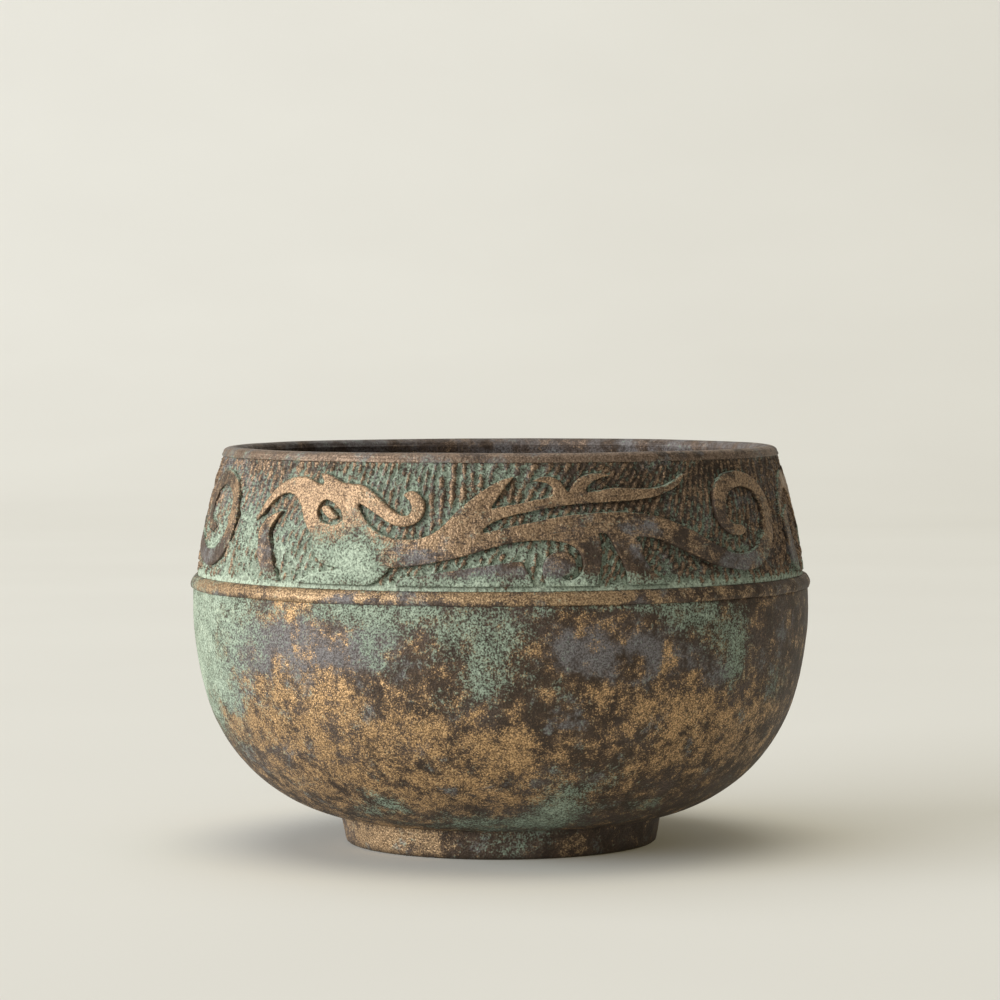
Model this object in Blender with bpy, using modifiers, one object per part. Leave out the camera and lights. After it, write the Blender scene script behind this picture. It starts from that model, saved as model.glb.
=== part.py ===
"""Footed bowl with a dragon frieze, in bronze.

A turned lower shell, a leaning upper wall, a rim band, a raised rib over the seam and a foot ring,
with three dragons in low relief round the wall. Metres, +Z up, origin at the middle of the foot's
resting face. The first dragon faces -Y.
"""

import math

import bmesh
import bpy

MM = 0.001
GAP = 0.3 * MM
SEGMENTS = 64
MERGE = 0.00001

# Belly: two arcs from the widest point down to the flat under the floor, and walls of one thickness.
WIDEST_RADIUS = 45.95 * MM
WIDEST_HEIGHT = 36.0 * MM
SIDE_ARC_RADIUS = 49.4 * MM
SIDE_ARC_SWEEP = 15.8
BASE_ARC_RADIUS = 25.8 * MM
SHELL_THICKNESS = 3.2 * MM

# Seam between bowl and wall, with the rib in a channel outside it and a lap inside it.
RIB_LOW = 38.37 * MM
RIB_HIGH = 40.24 * MM
RIB_RADIUS = 46.3 * MM
RIB_LOW_EDGE_RADIUS = 45.95 * MM
RIB_HIGH_EDGE_RADIUS = 45.5 * MM
RIB_INNER_RADIUS = 44.9 * MM
SEAM_HEIGHT = 39.0 * MM
LAP_RADIUS = 43.5 * MM
LAP_HEIGHT = 41.3 * MM

# Frieze wall: its outer face leans in from foot to top and bulges a little between.
FRIEZE_FOOT = 40.54 * MM
FRIEZE_TOP = 57.9 * MM
FRIEZE_FOOT_RADIUS = 44.89 * MM
FRIEZE_TOP_RADIUS = 40.90 * MM
FRIEZE_BULGE = 0.44 * MM
WALL_THICKNESS = 2.3 * MM

# Relief: it stands on the wall, and its drawing is unrolled at one radius, with u along the wall.
RELIEF_THICKNESS = 0.65 * MM
DRAWING_RADIUS = 43.5 * MM
DRAGON_AZIMUTHS = (0.0, 120.0, 237.5)
CURVE_STEPS = 2
SLICE_U = 6.0 * MM
SLICE_Z = 49.0 * MM

# Rim band and its lip, with a groove below that takes the wall's tongue.
RIM_LOW = 57.94 * MM
RIM_LOW_RADIUS = 41.63 * MM
LIP_BASE_RADIUS = 41.35 * MM
LIP_BASE_HEIGHT = 58.75 * MM
LIP_HALF_WIDTH = 1.35 * MM
LIP_RISE = 0.75 * MM
MOUTH_RADIUS = 38.5 * MM
TONGUE_INNER_RADIUS = 39.6 * MM
TONGUE_OUTER_RADIUS = 40.2 * MM
TONGUE_RISE = 0.9 * MM

# Foot ring, and the boss under the floor that centres it.
FOOT_HEIGHT = 3.95 * MM
FOOT_TOP_RADIUS = 24.0 * MM
FOOT_LOW_RADIUS = 23.3 * MM
FOOT_CHAMFER = 0.45 * MM
FOOT_INNER_TOP_RADIUS = 20.5 * MM
FOOT_INNER_LOW_RADIUS = 21.2 * MM
BOSS_BOTTOM = 3.2 * MM

# The dragon's outline, unrolled: (u, height) in millimetres, clockwise from the tip of its mane.
# Each run starts at a sharp corner, a tip or a notch, and is smooth after it.
BODY_OUTLINE = {
    "mane": [(-40.0, 49.2), (-38.9, 51.0), (-37.6, 52.8), (-36.2, 54.2), (-34.4, 55.2), (-32.0, 55.8),
             (-29.6, 55.5), (-28.1, 54.9)],
    "ear_front": [(-26.7, 54.8), (-27.4, 55.6)],
    "brow": [(-28.0, 56.35), (-26.3, 56.2), (-25.0, 55.7), (-23.8, 55.15), (-22.2, 54.95),
             (-20.4, 54.8), (-18.9, 54.1), (-17.3, 52.9), (-15.6, 51.6), (-14.2, 50.8), (-13.1, 50.7),
             (-12.5, 51.4), (-12.7, 52.4), (-13.3, 53.0)],
    "snout": [(-13.9, 53.5), (-13.0, 54.1), (-11.8, 53.8), (-10.9, 52.9), (-10.6, 51.6), (-11.0, 50.3),
              (-12.2, 49.4), (-13.8, 49.1), (-15.4, 49.5), (-17.2, 50.5), (-19.0, 51.5)],
    "jaw": [(-20.9, 52.4), (-20.1, 51.0), (-19.0, 49.7), (-17.5, 48.5), (-15.6, 47.7), (-13.2, 47.4),
            (-11.0, 47.6), (-9.2, 48.3), (-7.6, 49.6), (-6.2, 51.2), (-4.4, 52.7), (-2.2, 54.3),
            (-0.2, 55.5)],
    "spike": [(2.1, 56.1), (1.0, 55.0), (-0.1, 53.5)],
    "branch_top": [(-1.5, 51.5), (0.3, 52.0), (2.5, 52.3), (5.0, 52.9), (6.7, 53.2), (7.5, 53.8),
                   (7.3, 54.7), (6.3, 55.2)],
    "first_hook": [(4.5, 55.4), (5.6, 55.95), (7.0, 56.05), (8.2, 55.6), (9.0, 54.8)],
    "second_hook": [(9.7, 53.6), (10.3, 54.7), (11.3, 55.7), (13.0, 56.35), (14.8, 56.4)],
    "hook_inside": [(16.2, 56.1), (14.4, 55.7), (13.0, 55.0)],
    "branch_end": [(11.9, 53.8), (14.0, 54.0), (16.6, 54.4), (19.5, 54.25), (22.5, 54.2), (25.0, 54.6),
                   (27.0, 55.4)],
    "branch_under": [(28.9, 56.3), (27.3, 54.6), (25.0, 53.6), (22.0, 52.9), (17.0, 52.5), (12.0, 52.3),
                     (8.0, 51.9), (4.0, 51.2), (0.5, 50.4), (-1.6, 49.4)],
    "back": [(-2.9, 48.2), (0.0, 48.9), (4.0, 49.7), (8.0, 50.5), (12.0, 50.9), (17.0, 51.1),
             (21.0, 50.7), (25.0, 49.7), (29.0, 48.0), (32.0, 46.4), (35.0, 45.1), (38.3, 44.6)],
    "curl_inside": [(41.0, 45.0), (43.2, 46.3), (44.6, 48.4), (44.9, 50.8), (43.9, 52.9), (41.6, 53.9),
                    (38.9, 53.9), (36.8, 53.0), (35.7, 51.4), (36.0, 49.7), (37.2, 48.8), (38.6, 48.7)],
    "curl_outside": [(39.8, 48.0), (38.8, 47.3), (37.1, 47.2), (35.2, 47.9), (33.9, 49.5), (33.5, 51.6),
                     (34.1, 53.8), (35.8, 55.4), (38.5, 56.2), (41.5, 56.1), (44.5, 55.0), (46.5, 53.0),
                     (47.3, 50.4), (47.0, 47.9), (45.6, 45.3), (43.2, 43.3), (40.0, 42.3), (36.0, 42.5),
                     (32.0, 43.3), (28.0, 44.9), (24.0, 46.7), (21.0, 47.5)],
    "rear_leg_back": [(18.7, 47.6), (19.7, 46.6), (20.0, 45.2), (20.5, 43.8), (21.6, 42.4), (23.4, 41.4)],
    "rear_sole": [(23.9, 40.95)],
    "rear_leg_front": [(17.6, 40.95), (17.5, 42.2), (17.0, 43.8), (16.3, 45.3), (15.7, 46.7)],
    "leg_gap": [(14.9, 48.1)],
    "hind_leg_back": [(13.6, 48.3), (13.9, 46.5), (13.8, 44.5), (13.4, 42.6)],
    "hind_sole": [(13.1, 40.95)],
    "paw": [(6.3, 40.95), (5.7, 42.4), (5.8, 44.1), (6.8, 45.4), (8.3, 45.8), (9.7, 45.1), (10.2, 43.9),
            (9.9, 42.9), (9.0, 42.5)],
    "paw_groove": [(7.8, 42.4), (9.0, 41.8), (10.2, 42.0), (11.0, 42.9), (11.2, 44.3), (10.7, 45.7),
                   (9.6, 46.6), (8.0, 47.1), (6.0, 47.3), (3.5, 47.2), (1.0, 46.8), (-2.0, 46.0),
                   (-5.0, 45.1), (-8.5, 44.3), (-12.0, 43.7)],
    "chest_back": [(-15.2, 43.4), (-15.9, 42.5), (-16.9, 41.6)],
    "chest_sole": [(-18.2, 40.95)],
    "forepaw": [(-29.8, 40.95), (-28.3, 41.9), (-26.0, 42.6)],
    "chest_front": [(-22.2, 43.0), (-24.2, 43.5), (-25.8, 43.9), (-26.9, 44.7), (-27.6, 45.9),
                    (-27.7, 47.2), (-28.6, 48.5), (-29.5, 49.7), (-30.2, 51.0), (-31.0, 52.2),
                    (-32.2, 53.1), (-33.8, 53.4), (-35.4, 52.9), (-36.8, 51.9), (-38.0, 50.6)],
}
EYE_HOLE = {
    "hole": [(-27.2, 51.6), (-26.4, 52.6), (-25.3, 52.5), (-24.1, 51.8), (-23.1, 50.7), (-23.2, 49.7),
             (-24.5, 49.3), (-26.2, 49.6), (-27.1, 50.4)],
}
EYE_OUTLINE = {
    "outer_corner": [(-26.7, 51.6), (-25.8, 51.9), (-24.8, 51.2)],
    "inner_corner": [(-23.7, 50.3), (-24.4, 49.9), (-25.4, 50.2), (-26.2, 50.8)],
}
CLAW_OUTLINE = {
    "outside": [(-34.2, 50.9), (-36.0, 50.4), (-37.6, 49.6), (-38.5, 48.2), (-38.5, 46.3), (-38.1, 44.4),
                (-37.2, 42.7), (-35.6, 41.4)],
    "inside": [(-33.3, 41.1), (-34.2, 42.9), (-35.0, 44.6), (-35.5, 46.3), (-36.1, 47.4), (-36.0, 48.6),
               (-35.2, 49.7)],
}
FORELEG_OUTLINE = {
    "top": [(-13.9, 42.0), (-10.0, 42.6), (-5.0, 43.4), (-1.0, 44.0), (1.8, 44.4)],
    "heel": [(2.9, 44.4), (3.6, 43.1), (4.1, 41.9)],
    "sole": [(4.4, 40.95)],
    "toe": [(-14.2, 40.95)],
}

BRONZE_BROWN = (0.085, 0.058, 0.043)
GOLD_BRONZE = (0.24, 0.15, 0.075)
PATINA_GREEN = (0.20, 0.30, 0.20)


def clear_scene():
    """Removes every object of the startup scene."""
    for thing in list(bpy.data.objects):
        bpy.data.objects.remove(thing, do_unlink=True)


def make_material(name, colour, roughness, metallic):
    """A Principled material of one colour."""
    material = bpy.data.materials.new(name)
    material.use_nodes = True
    shader = material.node_tree.nodes["Principled BSDF"]
    shader.inputs["Base Color"].default_value = (*colour, 1.0)
    shader.inputs["Roughness"].default_value = roughness
    shader.inputs["Metallic"].default_value = metallic
    return material


def arc(centre, radius, start, end, steps):
    """Points (r, z) on an arc; angles in degrees, from +r towards +z."""
    points = []
    for step in range(steps + 1):
        angle = math.radians(start + (end - start) * step / steps)
        points.append((centre[0] + radius * math.cos(angle), centre[1] + radius * math.sin(angle)))
    return points


def ellipse(centre, half_width, rise, start, end, steps):
    """Points (r, z) on part of an ellipse; angles as for an arc."""
    points = []
    for r, z in arc((0.0, 0.0), 1.0, start, end, steps):
        points.append((centre[0] + half_width * r, centre[1] + rise * z))
    return points


SIDE_CENTRE = (WIDEST_RADIUS - SIDE_ARC_RADIUS, WIDEST_HEIGHT)
SWEEP = math.radians(SIDE_ARC_SWEEP)
BASE_CENTRE = (
    SIDE_CENTRE[0] + (SIDE_ARC_RADIUS - BASE_ARC_RADIUS) * math.cos(SWEEP),
    SIDE_CENTRE[1] - (SIDE_ARC_RADIUS - BASE_ARC_RADIUS) * math.sin(SWEEP),
)


def side_point(height, inset):
    """The belly's surface at a height on its side arc, inset from the outer face."""
    radius = SIDE_ARC_RADIUS - inset
    rise = height - SIDE_CENTRE[1]
    return (SIDE_CENTRE[0] + math.sqrt(radius * radius - rise * rise), height)


def frieze_radius(height):
    """Radius of the wall's outer face."""
    along = (height - FRIEZE_FOOT) / (FRIEZE_TOP - FRIEZE_FOOT)
    straight = FRIEZE_FOOT_RADIUS + (FRIEZE_TOP_RADIUS - FRIEZE_FOOT_RADIUS) * along
    return straight + 4.0 * FRIEZE_BULGE * along * (1.0 - along)


def frieze_points(low, high, inset, steps):
    """Points (r, z) up the wall's face, inset from it."""
    points = []
    for step in range(steps + 1):
        height = low + (high - low) * step / steps
        points.append((frieze_radius(height) - inset, height))
    return points


def bowl_profile():
    """From the middle of the floor up the inside, over the lap and down the outside to the boss."""
    inner_side = SIDE_ARC_RADIUS - SHELL_THICKNESS
    inner_base = BASE_ARC_RADIUS - SHELL_THICKNESS
    foot_seat = FOOT_HEIGHT + GAP
    seat_angle = math.degrees(math.asin((foot_seat - BASE_CENTRE[1]) / BASE_ARC_RADIUS))
    channel_radius = RIB_INNER_RADIUS - GAP
    channel_floor = RIB_LOW - GAP
    points = [(0.0, BASE_CENTRE[1] - inner_base)]
    points += arc(BASE_CENTRE, inner_base, -90.0, -SIDE_ARC_SWEEP, 7)
    points += arc(SIDE_CENTRE, inner_side, -SIDE_ARC_SWEEP, 0.0, 3)[1:]
    points += [side_point(LAP_HEIGHT, SHELL_THICKNESS), (LAP_RADIUS, LAP_HEIGHT)]
    points += [(LAP_RADIUS, SEAM_HEIGHT), (channel_radius, SEAM_HEIGHT)]
    points += [(channel_radius, channel_floor), side_point(channel_floor, 0.0)]
    points += arc(SIDE_CENTRE, SIDE_ARC_RADIUS, 0.0, -SIDE_ARC_SWEEP, 3)
    points += arc(BASE_CENTRE, BASE_ARC_RADIUS, -SIDE_ARC_SWEEP, seat_angle, 8)[1:]
    boss_radius = FOOT_INNER_TOP_RADIUS - GAP
    points += [(boss_radius, foot_seat), (boss_radius, BOSS_BOTTOM), (0.0, BOSS_BOTTOM)]
    return points


def wall_profile():
    """The wall with its skirt over the bowl's lap and its tongue under the rim band."""
    skirt_inner = LAP_RADIUS + GAP
    skirt_outer = RIB_INNER_RADIUS - GAP
    shoulder = RIM_LOW - GAP
    points = list(reversed(frieze_points(FRIEZE_FOOT, shoulder, 0.0, 4)))
    points += [(skirt_outer, FRIEZE_FOOT), (skirt_outer, SEAM_HEIGHT + GAP)]
    points += [(skirt_inner, SEAM_HEIGHT + GAP), (skirt_inner, LAP_HEIGHT + GAP)]
    points += frieze_points(LAP_HEIGHT + GAP, shoulder, WALL_THICKNESS, 3)
    points += [(TONGUE_INNER_RADIUS, shoulder), (TONGUE_INNER_RADIUS, shoulder + TONGUE_RISE)]
    points += [(TONGUE_OUTER_RADIUS, shoulder + TONGUE_RISE), (TONGUE_OUTER_RADIUS, shoulder)]
    return points


def rim_profile():
    """The band's outer face, its rounded lip, the mouth and the groove for the tongue."""
    lip_centre = (LIP_BASE_RADIUS - LIP_HALF_WIDTH, LIP_BASE_HEIGHT)
    groove_top = RIM_LOW + TONGUE_RISE
    groove_outer = TONGUE_OUTER_RADIUS + GAP
    groove_inner = TONGUE_INNER_RADIUS - GAP
    points = list(reversed(ellipse(lip_centre, LIP_HALF_WIDTH, LIP_RISE, 0.0, 180.0, 6)))
    points += [(RIM_LOW_RADIUS, RIM_LOW), (groove_outer, RIM_LOW), (groove_outer, groove_top)]
    points += [(groove_inner, groove_top), (groove_inner, RIM_LOW), (MOUTH_RADIUS, RIM_LOW)]
    return points


def rib_profile():
    """The bead: flat at the back, a soft rounded face at the front."""
    middle = RIB_LOW + 0.45 * (RIB_HIGH - RIB_LOW)
    upper = RIB_LOW + 0.78 * (RIB_HIGH - RIB_LOW)
    lower = RIB_LOW + 0.18 * (RIB_HIGH - RIB_LOW)
    return [
        (RIB_INNER_RADIUS, RIB_HIGH),
        (RIB_HIGH_EDGE_RADIUS, RIB_HIGH),
        (RIB_RADIUS - 0.22 * MM, upper),
        (RIB_RADIUS, middle),
        (RIB_RADIUS - 0.06 * MM, lower),
        (RIB_LOW_EDGE_RADIUS, RIB_LOW),
        (RIB_INNER_RADIUS, RIB_LOW),
    ]


def foot_profile():
    """The foot ring: it tapers down to a small chamfer and a flat resting face."""
    return [
        (FOOT_INNER_TOP_RADIUS, FOOT_HEIGHT),
        (FOOT_TOP_RADIUS, FOOT_HEIGHT),
        (FOOT_LOW_RADIUS, FOOT_CHAMFER),
        (FOOT_LOW_RADIUS - FOOT_CHAMFER, 0.0),
        (FOOT_INNER_LOW_RADIUS + FOOT_CHAMFER, 0.0),
        (FOOT_INNER_LOW_RADIUS, FOOT_CHAMFER),
    ]


def turned_part(name, profile, closed, material, collection):
    """A body turned about +Z from a profile at +X."""
    mesh = bpy.data.meshes.new(name)
    count = len(profile)
    edges = [(i, i + 1) for i in range(count - 1)]
    if closed:
        edges.append((count - 1, 0))
    mesh.from_pydata([(r, 0.0, z) for r, z in profile], edges, [])
    mesh.materials.append(material)
    part = bpy.data.objects.new(name, mesh)
    collection.objects.link(part)
    screw = part.modifiers.new("turn", "SCREW")
    screw.axis = "Z"
    screw.angle = math.tau
    screw.steps = SEGMENTS
    screw.render_steps = SEGMENTS
    screw.use_merge_vertices = True
    screw.merge_threshold = MERGE
    screw.use_smooth_shade = True
    return part


def add_outline(curve, outline):
    """A closed spline through an outline's points: corners where a run starts, smooth elsewhere."""
    points = []
    for run in outline.values():
        for index, (u, height) in enumerate(run):
            smooth = index > 0 or len(outline) == 1
            points.append((u * MM, height * MM, smooth))
    spline = curve.splines.new("BEZIER")
    spline.bezier_points.add(len(points) - 1)
    for point, (u, height, smooth) in zip(spline.bezier_points, points):
        point.co = (u, height, 0.0)
        kind = "AUTO" if smooth else "VECTOR"
        point.handle_left_type = kind
        point.handle_right_type = kind
    spline.use_cyclic_u = True
    spline.resolution_u = CURVE_STEPS


def flat_relief(name, outlines, collection):
    """The relief cut flat: a filled outline, extruded, as a mesh with its caps welded."""
    curve = bpy.data.curves.new(name, "CURVE")
    curve.dimensions = "2D"
    curve.fill_mode = "BOTH"
    curve.extrude = RELIEF_THICKNESS / 2.0
    curve.resolution_u = CURVE_STEPS
    for outline in outlines:
        add_outline(curve, outline)
    flat = bpy.data.objects.new(name + "_flat", curve)
    collection.objects.link(flat)
    graph = bpy.context.evaluated_depsgraph_get()
    mesh = bpy.data.meshes.new_from_object(flat.evaluated_get(graph))
    bpy.data.objects.remove(flat, do_unlink=True)
    return mesh


def slice_across(shape, point, normal):
    """Cuts the faces along a plane, so that they can follow the wall."""
    parts = list(shape.verts) + list(shape.edges) + list(shape.faces)
    bmesh.ops.bisect_plane(shape, geom=parts, dist=MERGE, plane_co=point, plane_no=normal)


def is_spare(edge):
    """Whether an edge crosses the flat front or back between the slices, where one face is enough."""
    if any(abs(face.normal.z) < 0.9 for face in edge.link_faces):
        return False
    first, second = (vertex.co for vertex in edge.verts)
    nearest = round(first.x / SLICE_U) * SLICE_U
    on_upright = abs(first.x - nearest) < MERGE and abs(second.x - nearest) < MERGE
    on_level = abs(first.y - SLICE_Z) < MERGE and abs(second.y - SLICE_Z) < MERGE
    return not on_upright and not on_level


def wrapped_relief(name, outlines, material, collection):
    """The flat relief sliced, then laid round the wall with its back a gap off the wall's face."""
    mesh = flat_relief(name, outlines, collection)
    shape = bmesh.new()
    shape.from_mesh(mesh)
    bmesh.ops.remove_doubles(shape, verts=shape.verts, dist=MERGE)
    reach = max(abs(vertex.co.x) for vertex in shape.verts)
    slices = int(reach / SLICE_U)
    slice_across(shape, (0.0, SLICE_Z, 0.0), (0.0, 1.0, 0.0))
    for index in range(-slices, slices + 1):
        slice_across(shape, (index * SLICE_U, 0.0, 0.0), (1.0, 0.0, 0.0))
    shape.normal_update()
    spare = [edge for edge in shape.edges if is_spare(edge)]
    bmesh.ops.dissolve_edges(shape, edges=spare, use_verts=True)
    for vertex in shape.verts:
        u, height, out = vertex.co
        radius = frieze_radius(height) + GAP + RELIEF_THICKNESS / 2.0 + out
        angle = u / DRAWING_RADIUS
        vertex.co = (radius * math.sin(angle), -radius * math.cos(angle), height)
    bmesh.ops.triangulate(shape, faces=shape.faces)
    bmesh.ops.recalc_face_normals(shape, faces=shape.faces)
    shape.to_mesh(mesh)
    shape.free()
    mesh.name = name
    mesh.materials.clear()
    mesh.materials.append(material)
    mesh.shade_smooth()
    mesh.set_sharp_from_angle(angle=math.radians(35.0))
    return mesh


def build():
    """Makes every part."""
    clear_scene()
    parts = bpy.data.collections.new("dragon_frieze_bowl")
    bpy.context.scene.collection.children.link(parts)

    brown = make_material("bronze_brown", BRONZE_BROWN, 0.62, 0.6)
    gold = make_material("rubbed_bronze", GOLD_BRONZE, 0.5, 0.8)
    green = make_material("patinated_ground", PATINA_GREEN, 0.8, 0.2)

    turned_part("bowl", bowl_profile(), False, brown, parts)
    turned_part("frieze_wall", wall_profile(), True, green, parts)
    turned_part("rim_band", rim_profile(), True, brown, parts)
    turned_part("rib_band", rib_profile(), True, gold, parts)
    turned_part("foot_ring", foot_profile(), True, brown, parts)

    reliefs = {
        "body": (BODY_OUTLINE, EYE_HOLE),
        "eye": (EYE_OUTLINE,),
        "claw": (CLAW_OUTLINE,),
        "foreleg": (FORELEG_OUTLINE,),
    }
    for kind, outlines in reliefs.items():
        mesh = wrapped_relief("dragon_" + kind, outlines, gold, parts)
        for number, azimuth in enumerate(DRAGON_AZIMUTHS, start=1):
            relief = bpy.data.objects.new(f"dragon_{number}_{kind}", mesh)
            relief.rotation_euler.z = math.radians(azimuth)
            parts.objects.link(relief)


build()
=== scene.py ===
"""Footed bronze bowl with a dragon frieze: the finished look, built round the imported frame."""

import math

import bmesh
import bpy
import numpy as np
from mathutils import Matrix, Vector, kdtree, noise


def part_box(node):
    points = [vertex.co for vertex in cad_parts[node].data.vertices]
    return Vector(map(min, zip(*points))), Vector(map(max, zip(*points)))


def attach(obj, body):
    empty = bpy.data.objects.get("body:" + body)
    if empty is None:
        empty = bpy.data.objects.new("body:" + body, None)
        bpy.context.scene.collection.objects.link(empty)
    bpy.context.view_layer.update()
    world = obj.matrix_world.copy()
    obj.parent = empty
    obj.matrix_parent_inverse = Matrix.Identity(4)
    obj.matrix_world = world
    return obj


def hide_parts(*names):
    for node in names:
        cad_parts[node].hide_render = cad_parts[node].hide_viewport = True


MM = 0.001

# The belly's arcs, the seam, the wall and the foot's inside, as the CAD has them. The rest is
# read from the frame. Heights are above the floor, and radii are from the bowl's axis.
SIDE_ARC_RADIUS = 49.4 * MM
SIDE_ARC_SWEEP = 15.8
BASE_ARC_RADIUS = 25.8 * MM
WIDEST_HEIGHT = 36.0 * MM
SHELL_THICKNESS = 3.2 * MM
SEAM_HEIGHT = 39.0 * MM
LAP_RADIUS = 43.5 * MM
LAP_HEIGHT = 41.3 * MM
CHANNEL_RADIUS = 44.6 * MM
FRIEZE_FOOT = 40.54 * MM
FRIEZE_TOP = 57.9 * MM
FRIEZE_FOOT_RADIUS = 44.89 * MM
FRIEZE_TOP_RADIUS = 40.90 * MM
FRIEZE_BULGE = 0.44 * MM
WALL_THICKNESS = 2.3 * MM
MOUTH_RADIUS = 38.5 * MM
FOOT_INNER_RADIUS = 20.5 * MM
BOSS_BOTTOM = 3.2 * MM
GAP = 0.3 * MM

# Surface detail.
GROUND_PROUD = 0.28 * MM  # how far the chiselled ground stands outside the CAD wall
CHISEL_RADIUS = 43.5 * MM  # where the strokes' pitch is measured
CHISEL_MIDDLE = 49 * MM
CHISEL_PITCH = 1.22 * MM
CHISEL_DEPTH = 0.24 * MM
CHISEL_LEAN = 0.32
KNOBS_BELOW = 48.5 * MM  # the ridges break into knobs under this height
MOAT = 0.16 * MM  # the groove round each relief
RELIEF_SINK = 0.75 * MM
RELIEF_VOXEL = 0.166 * MM  # as fine as the export's limit of triangles for one piece lets it be
RELIEF_EDGE = 0.45 * MM  # half way up a relief's edge, above the CAD wall
GREEN_REACH = 0.9 * MM  # how far green spreads over the ground from a relief or the rib
# How far the painted shadow under a relief reaches over the ground, and how high the painted shade
# along the foot's bottom rises.
SHADOW_REACH = 0.55 * MM
FOOT_SHADE_HEIGHT = 1.1 * MM
LIP_HALF_WIDTH = 1.35 * MM
LIP_HALF_HEIGHT = 0.75 * MM

# Patches of weathering, each (azimuth, height, half width, half height, strength): azimuths and
# half widths in degrees, from the front towards +X, and heights in millimetres.
VERDIGRIS = [
    (-74, 34, 14, 9, 1.0), (-74, 31, 16, 9, 0.9), (-82, 26, 14, 6, 0.9), (-57, 37, 9, 3.5, 0.8),
    (-28, 37.5, 8, 1.8, 0.75), (-14, 36.5, 14, 2.6, 0.62), (-2, 32.5, 7, 4.5, 0.66),
    (-3, 26.5, 3, 1.8, 0.45), (-22, 31, 4, 2.5, 0.5), (36, 36.5, 7, 2.6, 0.66),
    (42, 33, 4, 3, 0.5), (47.5, 30.5, 2.6, 4.5, 0.62), (64, 25, 4, 3, 0.4),
    (14, 9.5, 6, 3.5, 0.85), (0, 6.2, 20, 1.5, 0.62), (-28, 9.5, 4, 1.3, 0.5),
    (-36, 7.6, 5, 1.2, 0.45), (24, 13, 3, 1.6, 0.45), (36, 8.6, 4, 1.2, 0.5),
    (4, 2.0, 7, 2.2, 0.46), (20, 37.8, 12, 0.6, 0.6), (-25, 8.2, 3, 1.0, 0.4),
    (-8, 25, 3, 1.5, 0.3), (10, 27, 3, 1.5, 0.3), (-30, 11, 3, 0.9, 0.4),
]
RUBBED = [
    (-41, 36.8, 5, 1.8, 0.85), (-42, 27.5, 8, 2.4, 0.66), (-34, 25, 9, 2.6, 0.5),
    (-56, 20, 9, 4.5, 0.76), (-44, 21, 10, 4.5, 0.74), (-29, 21.5, 11, 4.5, 0.62),
    (-15, 22, 8, 3.0, 0.56), (-16, 16.5, 11, 4.5, 0.62), (1, 18.5, 9, 3.0, 0.84),
    (1, 14, 9, 2.6, 0.66), (-34, 14, 10, 3, 0.62), (-48, 11.5, 5, 1.6, 0.62),
    (17, 25.5, 4, 1.8, 0.6), (27, 24.0, 8, 2.8, 0.76), (38, 21.5, 9, 4.0, 0.78),
    (50, 19.5, 10, 4.0, 0.56), (36, 16.0, 11, 3.0, 0.5), (30, 30, 2.2, 1.2, 0.5),
    (63, 20, 8, 5.5, 0.42), (-12, 11, 11, 2.4, 0.58), (3, 10, 7, 1.6, 0.5),
    (-48, 2.2, 26, 4, 0.86), (26, 2.4, 6, 2, 0.36), (-52, 11, 10, 2.0, 0.5),
]
HAZE = [
    (-57, 30, 9, 6, 1.0), (-47, 33, 10, 3.4, 0.95), (-35, 32, 9, 3.6, 0.95),
    (-24, 32, 7, 3.6, 0.7), (14, 32.5, 8, 3.8, 0.8), (26, 32, 8, 3.5, 0.75),
    (41, 29, 7, 3.5, 0.5), (-46, 17, 2.2, 1.2, 0.9), (-15, 18.5, 2.4, 1, 0.8),
    (-5, 11.5, 3, 1, 0.6), (8, 12.5, 2.5, 1, 0.5), (20, 13.5, 2.5, 1, 0.6), (-63, 22, 5, 3, 0.6),
    (66, 31, 6, 5, 0.4), (-62, 14, 5, 2, 0.4), (12, 22, 3, 2, 0.3),
]
RIM_VERDIGRIS = [(-62, 58, 30, 1.0, 0.3)]
RIM_RUBBED = [(0, 59, 400, 3, 0.35), (-20, 58.2, 40, 1, 0.3)]
RIM_HAZE = [(-60, 59, 50, 3, 0.6), (0, 59, 400, 3, 0.1)]
RIB_RUBBED = [
    (-41, 39.4, 6, 2, 1.0), (-27, 39.9, 7, 0.7, 0.4), (-4, 39.6, 12, 0.9, 0.8),
    (13, 39.4, 8, 1.4, 0.85), (30, 39.6, 8, 0.8, 0.45), (50, 39.3, 14, 3, 0.1),
    (-62, 39.6, 14, 1.0, 0.85), (0, 39.3, 400, 3, 0.08),
]
RIB_VERDIGRIS = [(-76, 39.3, 12, 3, 0.55), (-22, 40.2, 5, 0.4, 0.4), (0, 40.6, 70, 0.22, 0.6)]
RIB_HAZE = [(-27, 39.3, 9, 3, 0.9), (-60, 38.6, 16, 0.7, 0.6), (24, 39.3, 5, 3, 0.5)]
GROUND_VERDIGRIS = [
    (-74, 45, 22, 9, 0.75), (-58, 44, 14, 6, 0.75), (-40, 45, 12, 5, 0.6),
    (-34, 43, 18, 2.6, 0.7), (-18, 53, 22, 5, 0.46), (-14, 56.5, 22, 1.6, 0.4),
    (0, 47, 12, 5, 0.34), (14, 45, 12, 4, 0.3), (0, 43.6, 16, 2.2, 0.5), (12, 43, 6, 2.4, 0.55),
    (0, 40.7, 78, 0.9, 0.95), (20, 43, 3, 2.5, 0.4), (39, 52, 4, 5, 0.30), (45, 46, 7, 3, 0.28),
    (28, 43, 8, 2, 0.2), (50, 49, 3, 3, 0.25),
]
GROUND_RUBBED = [(0, 49, 400, 30, 0.22)]
GROUND_HAZE = [
    (-72, 52, 16, 8, 0.8), (-44, 48, 12, 6, 0.7), (-16, 50, 20, 8, 0.45), (0, 49, 400, 30, 0.15),
]
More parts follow.
